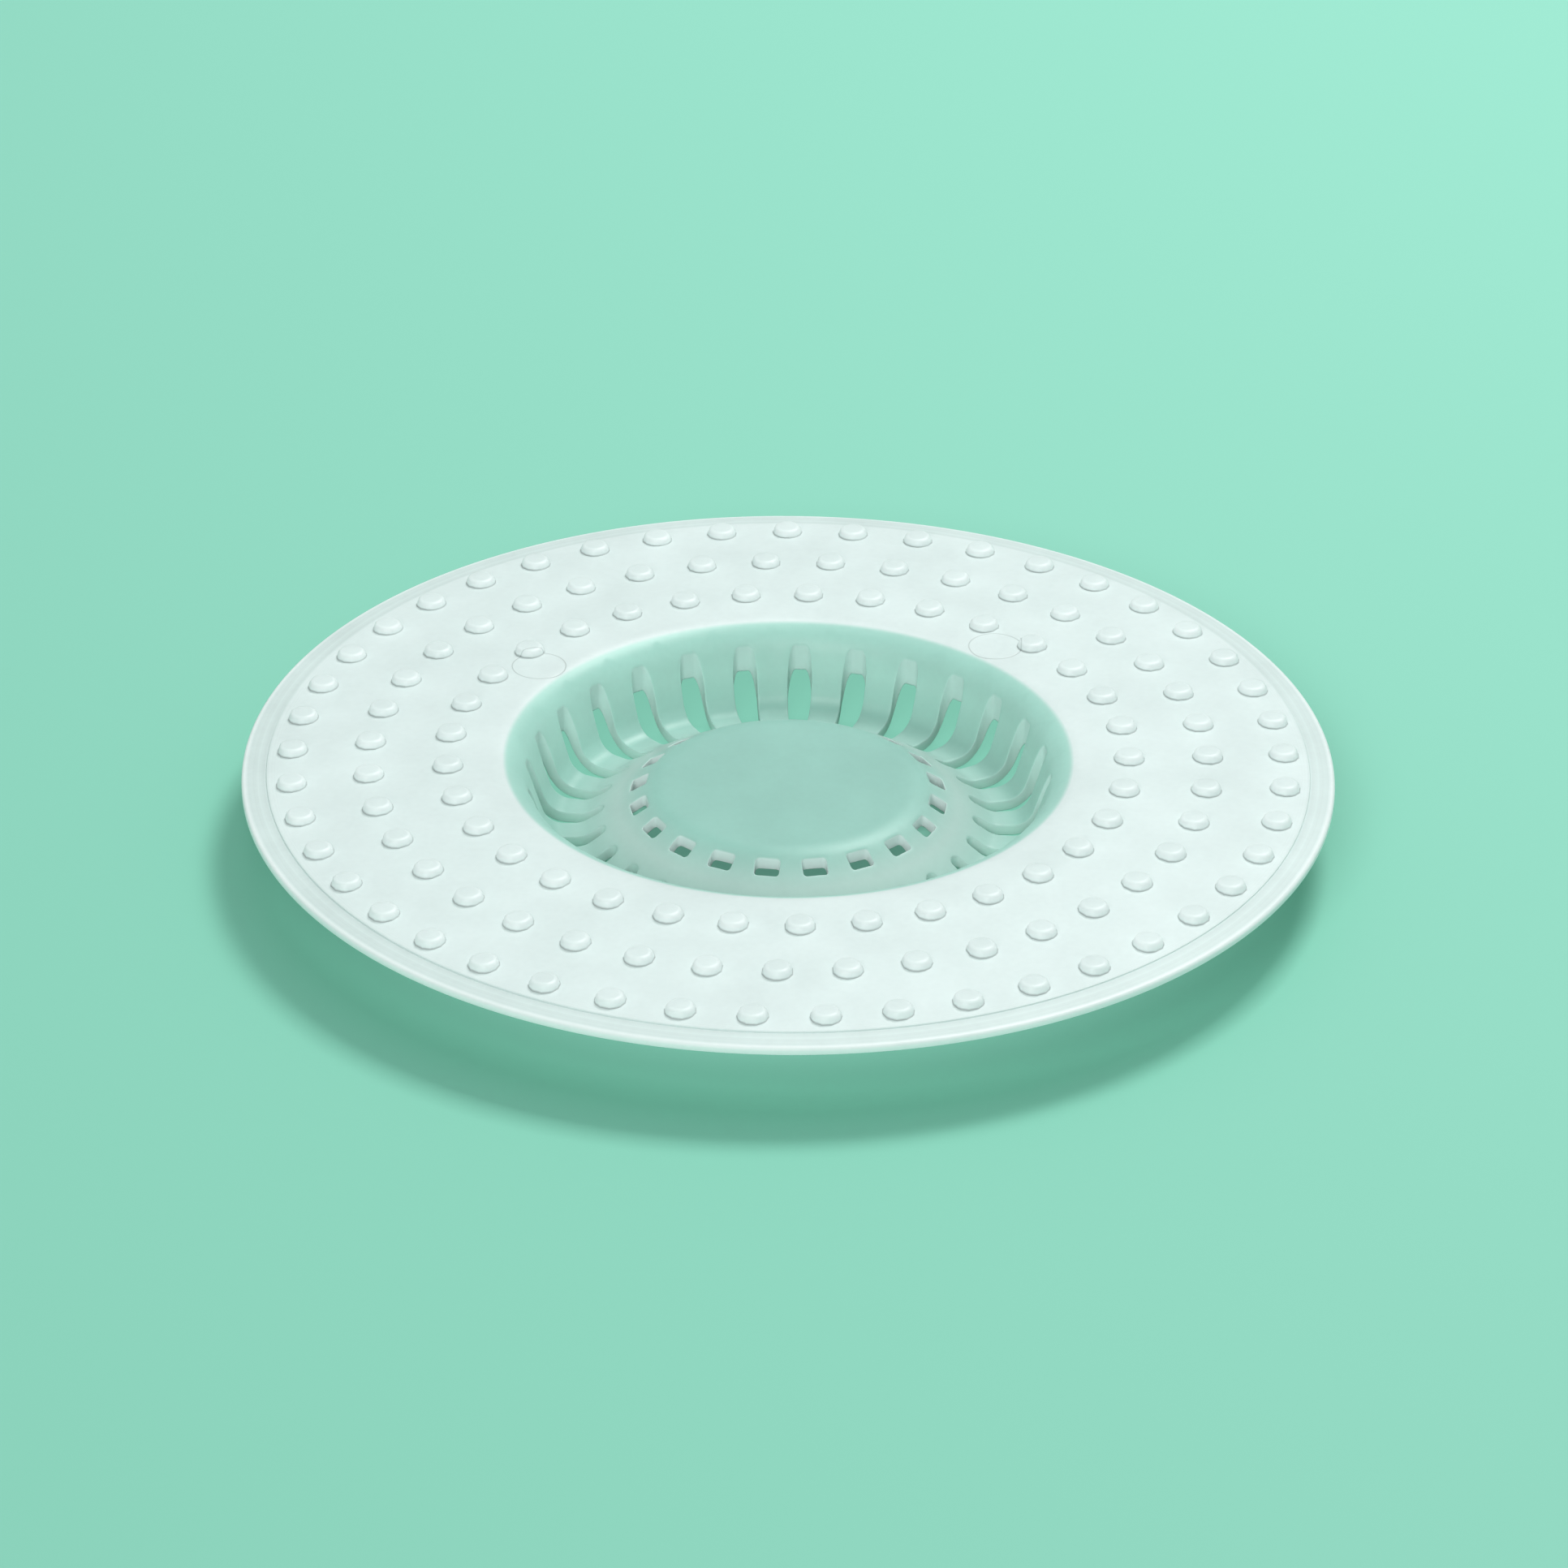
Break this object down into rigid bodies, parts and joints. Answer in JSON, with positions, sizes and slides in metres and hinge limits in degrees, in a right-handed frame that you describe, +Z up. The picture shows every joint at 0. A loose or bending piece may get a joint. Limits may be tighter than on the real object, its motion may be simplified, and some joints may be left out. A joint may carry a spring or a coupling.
{
  "type": "sink strainer",
  "caption": "Round push-in sink strainer: a thin studded flange with a sealing lip round a shallow slotted basket with a raised pierced floor.",
  "frame": {"origin": "on the strainer's axis, in the plane that the foot of the basket rests on", "axes": "+Z up along the axis, out of the basket's mouth; +X and +Y level, with the first slot, the first window and the first stud of each ring 10.3 degrees anticlockwise from +X"},
  "size_m": [0.115, 0.115, 0.0104],
  "materials": {
    "frosted_plastic": "natural, frosted and slightly translucent, with a soft sheen"
  },
  "bodies": {
    "root": {"rim_lip": "frosted_plastic", "studded_flange": "frosted_plastic", "mouth_collar": "frosted_plastic", "slotted_basket": "frosted_plastic", "basket_floor": "frosted_plastic"}
  },
  "joints": []
}
